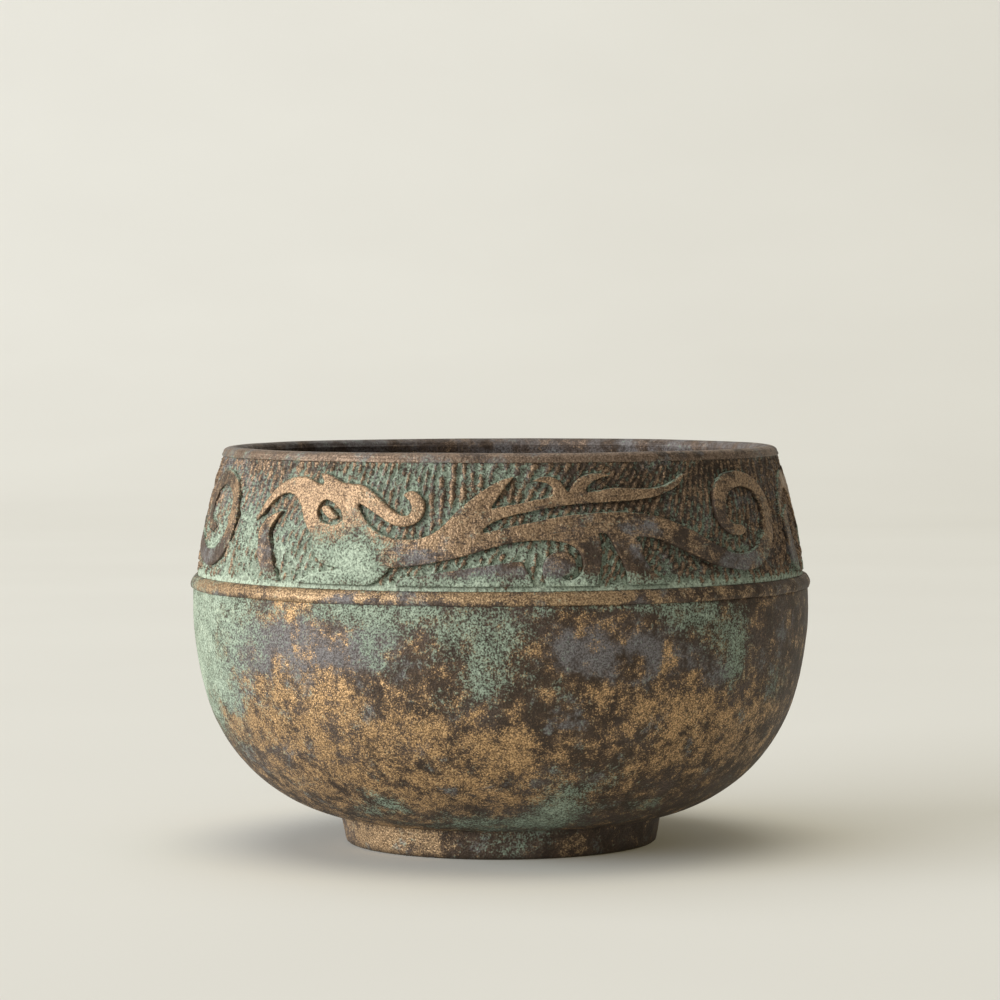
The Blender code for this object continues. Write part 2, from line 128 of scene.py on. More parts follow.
RELIEF_VERDIGRIS = [
    (-30, 44.8, 7.5, 3.0, 0.85), (-30, 44.5, 7, 3.4, 0.7), (-25, 43, 3.5, 2, 0.8),
    (-34, 42, 8, 1.6, 0.8), (-6, 41.2, 12, 1.3, 0.85), (12, 41.0, 8, 1.1, 0.85),
    (28, 41.0, 9, 1.1, 0.75), (-48, 41.4, 5, 1.3, 0.6), (13.5, 42.6, 1.6, 1.3, 0.5),
    (-58, 43, 5, 2.4, 0.6), (20, 42, 5, 1.2, 0.35),
]
RELIEF_RUBBED = [
    (-40, 54, 13, 3.5, 1.0), (-31, 52, 9, 5, 0.9), (-20, 52.5, 9, 4, 0.85),
    (-12, 48.5, 10, 3.2, 0.62), (-2, 53, 7, 4, 0.72), (14, 53, 22, 2.6, 0.66),
    (6, 49, 20, 2.4, 0.46), (32, 48, 14, 4, 0.24), (60, 51, 6, 6, 0.72), (54, 55, 8, 2.4, 0.5),
    (34, 54.8, 7, 2.2, 0.7), (12, 55.2, 14, 1.8, 0.6), (-53, 49, 5, 3.4, 0.85),
    (15, 55.6, 8, 1.6, 0.5), (50, 48, 3, 1, 0.8),
]
RELIEF_HAZE = [
    (-16, 45.5, 5, 1.6, 0.95), (-3, 42.6, 8, 1.6, 0.85), (29, 49, 5, 1.6, 0.6),
    (24, 46, 4, 2, 0.55), (10, 43.5, 3, 2, 0.7), (48, 43.5, 8, 1.8, 0.7), (-7, 47.8, 4, 1, 0.4),
    (-50, 43.6, 4, 2.8, 0.95),
]
# Where the reliefs are worn down, as on each dragon's chest, and where they are thinner, so that
# they stand out of the bowl's outline no further than in the photo.
SOFT_RELIEF = [(-31, 44.5, 7, 3.4, 0.95), (-26, 43.5, 4, 2.4, 0.7), (-35, 42, 6, 1.6, 0.8)]
SOFT_DEPTH = 0.17 * MM
THIN_RELIEF = [(90, 50, 15, 16, 1.0), (-84, 49, 10, 16, 0.55)]
THIN_DEPTH = 0.42 * MM
# The front's patches come again on the back, turned this far, and the dragon's on each dragon.
FRONT_AND_BACK = (0.0, 196.0)
DRAGON_TURNS = (0.0, 120.0, -122.5)

# The table sweeps up behind the bowl. Lights are (name, place, target, size, energy, colour).
TABLE_FRONT, TABLE_DEEP, TABLE_HIGH, TABLE_BEND, TABLE_WIDE = -1.8, 2.4, 2.2, 1.4, 4.0
NEAR_WINDOW, FROM_WINDOW = -1.7, -0.35  # x where the table is darkest, and where it is pale
WINDOW_SHADE = 0.2
GLOW_FROM, GLOW_FULL = 30 * MM, 54 * MM  # distance from the bowl's axis
GLOW_UNDER_BOWL = 0.35
TABLE_PALE = (0.530, 0.562, 0.602)
TABLE_CLOUD = (0.550, 0.584, 0.624)
TABLE_GLOW = (0.215, 0.180, 0.100)
WARM_WHITE = (1.0, 0.98, 0.94)
LIGHTS = (
    ("window_left", (-1.80, -0.74, 0.50), (0.0, 0.0, 0.04), (2.4, 0.9), 62.0, (1.0, 0.98, 0.955)),
    ("overhead", (-0.25, 0.35, 1.9), (0.0, 0.4, 0.0), (1.8, 1.8), 16.0, WARM_WHITE),
    ("backdrop_wash", (-0.7, 1.1, 1.7), (0.0, 2.6, 0.6), (1.0, 1.0), 7.0, WARM_WHITE),
)
FILL_COLOUR = (1.0, 0.94, 0.82, 1.0)
FILL_STRENGTH = 0.30
SEEN_COLOUR = (0.78, 0.76, 0.67, 1.0)

# The camera, as fitted to the photo: lens and sensor in millimetres, tilt and roll in degrees.
CAMERA_PLACE = (0.0, -0.5686, 0.07497)
CAMERA_LENS = 136.8
CAMERA_SENSOR = 36.0
CAMERA_DOWN = 2.409
CAMERA_ROLL = 0.129

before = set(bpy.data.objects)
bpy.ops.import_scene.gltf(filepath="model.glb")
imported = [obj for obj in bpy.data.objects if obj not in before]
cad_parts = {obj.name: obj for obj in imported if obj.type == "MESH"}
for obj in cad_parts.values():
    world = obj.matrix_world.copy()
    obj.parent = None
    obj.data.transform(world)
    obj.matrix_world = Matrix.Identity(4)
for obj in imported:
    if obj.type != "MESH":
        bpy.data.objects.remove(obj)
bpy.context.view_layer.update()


# ---------------------------------------------------------------------------------------------
# Shapes
# ---------------------------------------------------------------------------------------------

WIDEST_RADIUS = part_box("bowl")[1].x
FOOT_TOP_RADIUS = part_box("foot_ring")[1].x
FOOT_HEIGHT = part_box("foot_ring")[1].z
RIB_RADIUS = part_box("rib_band")[1].x
RIB_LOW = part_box("rib_band")[0].z
RIB_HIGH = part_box("rib_band")[1].z
RIM_LOW_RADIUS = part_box("rim_band")[1].x
RIM_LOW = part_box("rim_band")[0].z
RIM_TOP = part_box("rim_band")[1].z

SIDE_CENTRE = (WIDEST_RADIUS - SIDE_ARC_RADIUS, WIDEST_HEIGHT)
BASE_CENTRE = (
    SIDE_CENTRE[0] + (SIDE_ARC_RADIUS - BASE_ARC_RADIUS) * math.cos(math.radians(SIDE_ARC_SWEEP)),
    SIDE_CENTRE[1] - (SIDE_ARC_RADIUS - BASE_ARC_RADIUS) * math.sin(math.radians(SIDE_ARC_SWEEP)),
)


def arc(centre, radius, start, end, step):
    """Points (r, z) on an arc about one step apart; angles in degrees, from +r towards +z."""
    count = max(2, round(abs(math.radians(end - start)) * radius / step))
    angles = [math.radians(start + (end - start) * i / count) for i in range(count + 1)]
    return [(centre[0] + radius * math.cos(a), centre[1] + radius * math.sin(a)) for a in angles]


def straight(start, end, step):
    """Points (r, z) on a straight run about one step apart, without its last point."""
    count = max(1, round(math.dist(start, end) / step))
    return [tuple(s + (e - s) * i / count for s, e in zip(start, end)) for i in range(count)]


def outline(corners, step):
    """Points along straight runs between corners, and from the last corner back to the first."""
    points = []
    for start, end in zip(corners, corners[1:] + corners[:1]):
        points += straight(start, end, step)
    return points


def side_point(height, inset):
    """The belly's surface at a height on its side arc, inset from the outer face."""
    radius = SIDE_ARC_RADIUS - inset
    rise = height - SIDE_CENTRE[1]
    return (SIDE_CENTRE[0] + math.sqrt(radius * radius - rise * rise), height)


def frieze_radius(height):
    """Radius of the CAD wall's outer face; takes numbers or arrays."""
    along = (height - FRIEZE_FOOT) / (FRIEZE_TOP - FRIEZE_FOOT)
    straight_radius = FRIEZE_FOOT_RADIUS + (FRIEZE_TOP_RADIUS - FRIEZE_FOOT_RADIUS) * along
    return straight_radius + 4.0 * FRIEZE_BULGE * along * (1.0 - along)


def noise_at(points, size, seed):
    """Smooth noise, about -0.5 to 0.5, at (n, 3) points whose features measure size."""
    offset = Vector((seed * 17.3, seed * 5.1, seed * 9.7))
    scaled = points / np.asarray(size)
    return np.array([noise.noise(Vector(p) + offset) for p in scaled])


def revolve(profile, segments, closed):
    """A profile of (r, z) turned round: its points' azimuth, radius and height, rings and faces."""
    profile = np.array(profile)
    turns = np.arange(segments) * math.tau / segments
    rings = profile[profile[:, 0] > 1e-7]
    azimuth = np.tile(turns, len(rings))
    radius = np.repeat(rings[:, 0], segments)
    height = np.repeat(rings[:, 1], segments)
    index = np.arange(len(rings) * segments).reshape(len(rings), segments)
    after = np.roll(index, -1, axis=1)
    pairs = [(i, i + 1) for i in range(len(rings) - 1)]
    if closed:
        pairs.append((len(rings) - 1, 0))
    faces = []
    for low, high in pairs:
        faces += np.stack([index[low], after[low], after[high], index[high]], 1).tolist()
    return azimuth, radius, height, index, faces


def round_position(azimuth, radius, height):
    """World points for azimuths measured from -Y towards +X."""
    return np.stack([radius * np.sin(azimuth), -radius * np.cos(azimuth), height], 1)


def make_piece(name, points, faces, sharp):
    """A smooth-shaded object from points and faces, with its faces turned outwards."""
    mesh = bpy.data.meshes.new(name)
    mesh.from_pydata(points.tolist(), [], faces)
    shape = bmesh.new()
    shape.from_mesh(mesh)
    bmesh.ops.recalc_face_normals(shape, faces=shape.faces)
    shape.to_mesh(mesh)
    shape.free()
    mesh.shade_smooth()
    mesh.set_sharp_from_angle(angle=math.radians(sharp))
    piece = bpy.data.objects.new(name, mesh)
    bpy.context.scene.collection.objects.link(piece)
    return piece


def turned_piece(name, profile, shape_of, segments, closed=True, sharp=40.0):
    """A turned piece whose points shape_of moves; a profile that isn't closed ends on the axis."""
    azimuth, radius, height, index, faces = revolve(profile, segments, closed)
    points = round_position(azimuth, radius, height)
    moved_out, moved_up = shape_of(azimuth, radius, height, points)
    points = round_position(azimuth, radius + moved_out, height + moved_up)
    if not closed:
        for end, ring in ((0, index[0]), (-1, index[-1])):
            points = np.vstack([points, [[0.0, 0.0, profile[end][1]]]])
            pole = len(points) - 1
            faces += [[int(a), int(b), pole] for a, b in zip(ring, np.roll(ring, -1))]
    return make_piece(name, points, faces, sharp)


def belly_profile():
    """From the middle of the floor up the inside, over the lap and down the outside to the boss."""
    inner_side = SIDE_ARC_RADIUS - SHELL_THICKNESS
    inner_base = BASE_ARC_RADIUS - SHELL_THICKNESS
    floor_height = BASE_CENTRE[1] - inner_base
    seat = FOOT_HEIGHT + GAP
    seat_angle = math.degrees(math.asin((seat - BASE_CENTRE[1]) / BASE_ARC_RADIUS))
    channel_floor = RIB_LOW - 0.05 * MM
    boss_radius = FOOT_INNER_RADIUS - GAP
    points = [(0.0, floor_height)]
    points += straight((1.0 * MM, floor_height), (BASE_CENTRE[0], floor_height), 1.5 * MM)
    points += arc(BASE_CENTRE, inner_base, -90.0, -SIDE_ARC_SWEEP, 0.9 * MM)
    points += arc(SIDE_CENTRE, inner_side, -SIDE_ARC_SWEEP, 0.0, 0.9 * MM)[1:]
    for height in (LAP_HEIGHT - 2.5 * MM, LAP_HEIGHT):
        points.append(side_point(height, SHELL_THICKNESS))
    points += [(LAP_RADIUS, LAP_HEIGHT), (LAP_RADIUS, SEAM_HEIGHT), (CHANNEL_RADIUS, SEAM_HEIGHT)]
    points += [(CHANNEL_RADIUS, channel_floor), side_point(channel_floor, 0.15 * MM)]
    points += [side_point(channel_floor - 0.12 * MM, 0.02 * MM)]
    above_widest = channel_floor - 0.5 * MM - WIDEST_HEIGHT
    side_start = math.degrees(math.asin(above_widest / SIDE_ARC_RADIUS))
    points += arc(SIDE_CENTRE, SIDE_ARC_RADIUS, side_start, -SIDE_ARC_SWEEP, 0.5 * MM)
    points += arc(BASE_CENTRE, BASE_ARC_RADIUS, -SIDE_ARC_SWEEP, seat_angle, 0.5 * MM)[1:]
    points.append((boss_radius, seat))
    points += [(boss_radius * share, BOSS_BOTTOM) for share in (1.0, 0.5, 0.0)]
    return points


def belly_shape(azimuth, radius, height, points):
    """Slow waves of a hand-finished wall, and a faint crust."""
    exposed = (height > FOOT_HEIGHT) & (height < SEAM_HEIGHT - 1.0 * MM)
    outside = (radius > FOOT_INNER_RADIUS) & exposed
    waves = 0.10 * MM * noise_at(points, 14 * MM, 1) + 0.05 * MM * noise_at(points, 4 * MM, 2)
    crust = 0.03 * MM * noise_at(points, 1.1 * MM, 3)
    return np.where(outside, waves + crust, 0.0), np.zeros(len(radius))


def wall_profile():
    """The wall, with a fine outer face and a coarse inside."""
    skirt_inner = LAP_RADIUS + GAP
    lap_top = LAP_HEIGHT + GAP
    top = RIM_LOW + 0.01 * MM
    rows = 62
    points = []
    for row in range(rows + 1):
        height = top + (FRIEZE_FOOT - 0.28 * MM - top) * row / rows
        flush = 0.14 * MM * max(0.0, 1.0 - (top - height) / (0.8 * MM))
        points.append((frieze_radius(height) + GROUND_PROUD + flush, height))
    points += [(CHANNEL_RADIUS, RIB_HIGH + 0.05 * MM), (CHANNEL_RADIUS, SEAM_HEIGHT + GAP)]
    points += [(skirt_inner, SEAM_HEIGHT + GAP), (skirt_inner, lap_top)]
    inner_rows = 8
    for row in range(inner_rows + 1):
        height = lap_top + (top - lap_top) * row / inner_rows
        points.append((frieze_radius(height) - WALL_THICKNESS, height))
    return points


def chisel_height(azimuth, height):
    """The chiselled ground, 0 in a groove to 1.2 on a ridge: leaning strokes of short beads."""
    along = azimuth * CHISEL_RADIUS
    ring = np.stack([np.cos(azimuth), np.sin(azimuth), np.zeros(len(azimuth))], 1) * CHISEL_RADIUS
    place = ring + np.stack([np.zeros(len(azimuth)), np.zeros(len(azimuth)), height], 1)
    slow = noise_at(place, (16 * MM, 16 * MM, 12 * MM), 11)
    drift = noise_at(place, (3.2 * MM, 3.2 * MM, 9 * MM), 12)
    lean = CHISEL_LEAN + 0.5 * slow
    strokes = round(math.tau * CHISEL_RADIUS / CHISEL_PITCH)
    pitch = math.tau * CHISEL_RADIUS / strokes
    phase = (along - lean * (height - CHISEL_MIDDLE)) / pitch + 0.45 * drift
    ridge = 0.5 + 0.5 * np.cos(math.tau * phase)
    beads = noise_at(place, (0.8 * MM, 0.8 * MM, 1.1 * MM), 13)
    pits = noise_at(place, (0.42 * MM, 0.42 * MM, 0.5 * MM), 14)
    knobs = 0.8 + 1.1 * np.clip((KNOBS_BELOW - height) / (4 * MM), 0.0, 1.0)
    return np.clip(ridge * (0.85 + knobs * beads) + 0.6 * pits + 0.05, 0.0, 1.2)


def ground_shape(azimuth, radius, height, points):
    """The chiselled outer face of the wall; the inside only has slow waves."""
    outside = radius > frieze_radius(height) + 0.5 * GROUND_PROUD
    edge = np.minimum((RIM_LOW - height) / (0.5 * MM), (height - FRIEZE_FOOT) / (0.6 * MM))
    strength = np.clip(edge, 0.0, 1.0)
    carved = (chisel_height(azimuth, height) - 0.62) * 2.0 * CHISEL_DEPTH * strength
    inner_waves = 0.05 * MM * noise_at(points, 12 * MM, 4)
    return np.where(outside, carved, inner_waves), np.zeros(len(radius))


def rim_profile():
    """The band and its rounded lip."""
    middle, level = RIM_LOW_RADIUS - 1.63 * MM, RIM_TOP - 0.98 * MM
    steps = 18
    points = []
    for step in range(steps, -1, -1):
        angle = math.radians(180.0 * step / steps)
        across, up = LIP_HALF_WIDTH * math.cos(angle), LIP_HALF_HEIGHT * math.sin(angle)
        points.append((middle + across, level + up))
    for inset, rise in ((0.10, 0.28), (0.07, 0.08), (0.12, 0.0), (1.1, 0.0)):
        points.append((RIM_LOW_RADIUS - inset * MM, RIM_LOW + rise * MM))
    points += [(MOUTH_RADIUS + 0.1 * MM, RIM_LOW), (MOUTH_RADIUS, RIM_LOW + 0.3 * MM)]
    return points


def rim_shape(azimuth, radius, height, points):
    """A lip that isn't quite level or round."""
    out = 0.06 * MM * noise_at(points, (7 * MM, 7 * MM, 3 * MM), 5)
    up = 0.07 * MM * noise_at(points, (12 * MM, 12 * MM, 30 * MM), 6)
    return out, up * (height > RIM_LOW + 0.2 * MM)


def rib_profile():
    """The bead, with softly rounded edges; its section is drawn 1.34 wide and 1 high."""
    section_width = 1.34
    section = [
        (0.0, 0.995), (0.55, 1.0), (0.80, 0.955), (0.95, 0.87), (1.08, 0.76), (1.22, 0.6),
        (1.32, 0.44), (1.34, 0.28), (1.27, 0.13), (1.12, 0.04), (0.85, 0.0), (0.0, 0.0),
    ]
    back = CHANNEL_RADIUS + 0.1 * MM
    low = RIB_LOW - 0.16 * MM
    wide, tall = RIB_RADIUS - back, RIB_HIGH - low
    return [(back + out * wide / section_width, low + up * tall) for out, up in section]


def rib_shape(azimuth, radius, height, points):
    """Hammered waves along the bead."""
    front = radius > CHANNEL_RADIUS + 0.5 * MM
    out = 0.12 * MM * noise_at(points, (3.5 * MM, 3.5 * MM, 3 * MM), 7)
    out += 0.05 * MM * noise_at(points, 1.2 * MM, 8)
    up = 0.10 * MM * noise_at(points, (8 * MM, 8 * MM, 20 * MM), 9)
    return np.where(front, out - 0.03 * MM, 0.0), np.where(front, up, 0.0)


def foot_profile():
    """The foot ring, with a worn edge at the floor."""
    top = FOOT_HEIGHT + 0.36 * MM
    worn_edge = ((23.36, 0.75), (23.22, 0.35), (22.9, 0.1), (22.5, 0.0), (21.7, 0.0), (21.2, 0.4))
    corners = [(FOOT_INNER_RADIUS, top), (FOOT_TOP_RADIUS, top)]
    corners += [(radius * MM, height * MM) for radius, height in worn_edge]
    return outline(corners, 0.4 * MM)


def foot_shape(azimuth, radius, height, points):
    """Slow waves and small dents, but none at the very bottom."""
    out = 0.10 * MM * noise_at(points, (6 * MM, 6 * MM, 4 * MM), 10)
    out += 0.04 * MM * noise_at(points, 1.3 * MM, 15)
    return np.where(height > 0.05 * MM, out, 0.0), np.zeros(len(radius))


def drop_crumbs(mesh):
    """Removes the few loose specks that a remesh leaves beside its main body."""
    shape = bmesh.new()
    shape.from_mesh(mesh)
    groups = []
    for start in shape.verts:
        if start.tag:
            continue
        start.tag = True
        group = [start]
        for vertex in group:
            for edge in vertex.link_edges:
                other = edge.other_vert(vertex)
                if not other.tag:
                    other.tag = True
                    group.append(other)
        groups.append(group)
    groups.sort(key=len)
    crumbs = [vertex for group in groups[:-1] for vertex in group]
    bmesh.ops.delete(shape, geom=crumbs, context="VERTS")
    shape.to_mesh(mesh)
    shape.free()


def relief_piece(node, name):
    """A relief: the CAD solid with its back sunk into the ground, worn edges and an uneven face."""
    mesh = bpy.data.objects[node].data.copy()
    shape = bmesh.new()
    shape.from_mesh(mesh)
    bmesh.ops.remove_doubles(shape, verts=shape.verts, dist=0.01 * MM)
    for vertex in shape.verts:
        out = math.hypot(vertex.co.x, vertex.co.y)
        proud = out - frieze_radius(vertex.co.z)
        if proud < RELIEF_EDGE:
            scale = (out - RELIEF_SINK) / out
            vertex.co.x *= scale
            vertex.co.y *= scale
    shape.to_mesh(mesh)
    shape.free()
    mesh.name = name
    mesh.materials.clear()
    piece = bpy.data.objects.new(name, mesh)
    bpy.context.scene.collection.objects.link(piece)
    remesh = piece.modifiers.new("even", "REMESH")
    remesh.mode = "VOXEL"
    remesh.voxel_size = RELIEF_VOXEL
    remesh.use_smooth_shade = True
    soften = piece.modifiers.new("worn", "SMOOTH")
    soften.factor = 0.5
    soften.iterations = 3
    graph = bpy.context.evaluated_depsgraph_get()
    dense = bpy.data.meshes.new_from_object(piece.evaluated_get(graph))
    piece.modifiers.clear()
    piece.data = dense
    bpy.data.meshes.remove(mesh)
    dense.name = name
    drop_crumbs(dense)
    points = mesh_points(dense)
    radius = np.hypot(points[:, 0], points[:, 1])
    above_edge = radius - frieze_radius(points[:, 2]) - RELIEF_EDGE
    face = np.clip(above_edge / (0.4 * MM), 0.0, 1.0)
    waves = 0.22 * MM * noise_at(points, 5 * MM, 16) + 0.10 * MM * noise_at(points, 1.8 * MM, 17)
    grain = 0.05 * MM * noise_at(points, 0.6 * MM, 18)
    worn = SOFT_DEPTH * patch_field(points, SOFT_RELIEF, DRAGON_TURNS)
    thinned = THIN_DEPTH * patch_field(points, THIN_RELIEF)
    scale = 1.0 + face * (waves + grain - worn - thinned - 0.06 * MM) / radius
    points[:, 0] *= scale
    points[:, 1] *= scale
    dense.vertices.foreach_set("co", points.astype(np.float32).ravel())
    dense.update()
    dense.shade_smooth()
    return piece


def mesh_points(mesh):
    """A mesh's points as an (n, 3) array."""
    flat = np.empty(len(mesh.vertices) * 3, np.float32)
    mesh.vertices.foreach_get("co", flat)
    return flat.reshape(-1, 3).astype(np.float64)


# ---------------------------------------------------------------------------------------------
# Weathering, stored on the meshes
# ---------------------------------------------------------------------------------------------


def patch_field(points, patches, turns=FRONT_AND_BACK):
    """How strongly patches of weathering cover each point; they come again at each of the turns."""
    azimuth = np.degrees(np.arctan2(points[:, 0], -points[:, 1]))
    height = points[:, 2] / MM
    bare = np.ones(len(points))
    for at, level, wide, tall, strength in patches:
        for turn in turns:
            across = (azimuth - at - turn + 180.0) % 360.0 - 180.0
            spread = (across / wide) ** 2 + ((height - level) / tall) ** 2
            bare *= 1.0 - strength * np.exp(-0.7 * spread)
    return 1.0 - bare


def paint(piece, name, values):
    """Stores one value for each point of a piece."""
    layer = piece.data.attributes.new(name, "FLOAT", "POINT")
    layer.data.foreach_set("value", np.ascontiguousarray(values, np.float32))


def weather(piece, verdigris, rubbed, haze, inside=None, turns=FRONT_AND_BACK):
    """Paints the three weathering fields. Where inside(points) is true, it is mostly haze."""
    points = mesh_points(piece.data)
    indoors = np.zeros(len(points), bool) if inside is None else inside(points)
    kept = np.where(indoors, 0.12, 1.0)
    paint(piece, "verdigris", patch_field(points, verdigris, turns) * kept)
    paint(piece, "rubbed", patch_field(points, rubbed, turns) * kept)
    haze_indoors = np.where(indoors, 0.55, 0.0)
    paint(piece, "haze", np.maximum(patch_field(points, haze, turns) * kept, haze_indoors))


# ---------------------------------------------------------------------------------------------
# Materials
# ---------------------------------------------------------------------------------------------


class Graph:
    """Short calls for building a material's nodes."""

    def __init__(self, name):
        self.material = bpy.data.materials.new(name)
        self.material.use_nodes = True
        self.tree = self.material.node_tree
        self.tree.nodes.clear()
        self.place = self.node("ShaderNodeTexCoord").outputs["Object"]

    def node(self, kind, **settings):
        made = self.tree.nodes.new(kind)
        for key, value in settings.items():
            setattr(made, key, value)
        return made

    def feed(self, socket, value):
        """Links a socket, or sets a number or a colour on it."""
        if isinstance(value, bpy.types.NodeSocket):
            self.tree.links.new(value, socket)
        elif isinstance(value, tuple) and len(value) == 3 and socket.type == "RGBA":
            socket.default_value = (*value, 1.0)
        else:
            socket.default_value = value

    def attribute(self, name):
        return self.node("ShaderNodeAttribute", attribute_name=name).outputs["Fac"]

    def noise(self, size, detail=3.0, roughness=0.55, stretch=(1.0, 1.0, 1.0), shift=0.0):
        """Noise whose features measure about size, stretched along the axes."""
        mapping = self.node("ShaderNodeMapping")
        self.feed(mapping.inputs["Vector"], self.place)
        mapping.inputs["Scale"].default_value = tuple(1.0 / (size * s) for s in stretch)
        mapping.inputs["Location"].default_value = (shift, shift * 1.7, shift * 0.6)
        texture = self.node("ShaderNodeTexNoise")
        self.feed(texture.inputs["Vector"], mapping.outputs["Vector"])
        texture.inputs["Scale"].default_value = 1.0
        texture.inputs["Detail"].default_value = detail
        texture.inputs["Roughness"].default_value = roughness
        return texture.outputs["Fac"]

    def spread(self, value):
        """Noise stretched so that its values fill 0 to 1 evenly."""
        made = self.node("ShaderNodeMapRange")
        for key, number in (("Value", value), ("From Min", 0.30), ("From Max", 0.70)):
            self.feed(made.inputs[key], number)
        return made.outputs["Result"]

    def math(self, operation, first, second=0.0, third=0.0):
        made = self.node("ShaderNodeMath", operation=operation)
        for socket, value in zip(made.inputs, (first, second, third)):
            self.feed(socket, value)
        return made.outputs["Value"]

    def add_scaled(self, value, other, scale, middle=0.5):
        """value + (other - middle) * scale"""
        offset = self.math("SUBTRACT", other, middle)
        return self.math("ADD", value, self.math("MULTIPLY", offset, scale))

    def band(self, value, low, high, to_low=0.0, to_high=1.0):
        """A smooth step from to_low below low to to_high above high."""
        made = self.node("ShaderNodeMapRange", interpolation_type="SMOOTHSTEP")
        keys = ("Value", "From Min", "From Max", "To Min", "To Max")
        for key, number in zip(keys, (value, low, high, to_low, to_high)):
            self.feed(made.inputs[key], number)
        return made.outputs["Result"]

    def mix(self, factor, first, second):
        made = self.node("ShaderNodeMix", data_type="RGBA")
        self.feed(made.inputs["Factor"], factor)
        self.feed(made.inputs[6], first)
        self.feed(made.inputs[7], second)
        return made.outputs[2]


DARK = (0.026, 0.018, 0.012)
BROWN_DARK = (0.042, 0.027, 0.017)
BROWN_WARM = (0.100, 0.064, 0.040)
MAUVE = (0.098, 0.074, 0.062)
TAN = (0.22, 0.145, 0.085)
GOLD_DEEP = (0.15, 0.085, 0.036)
GOLD_BRIGHT = (0.86, 0.56, 0.28)
RIM_DEEP = (0.13, 0.085, 0.058)
RIM_BRIGHT = (0.36, 0.265, 0.195)
GROUND_BRIGHT = (0.46, 0.32, 0.20)
RIB_DEEP = (0.19, 0.115, 0.058)
RIB_BRIGHT = (0.68, 0.48, 0.28)
BRONZE_DEEP = (0.20, 0.125, 0.072)
BRONZE_BRIGHT = (0.60, 0.42, 0.26)
EARTH = (0.135, 0.088, 0.052)
HAZE_BLUE = (0.19, 0.182, 0.188)
MINT = (0.25, 0.325, 0.25)
MINT_PALE = (0.52, 0.63, 0.50)
MINT_DEEP = (0.13, 0.165, 0.125)


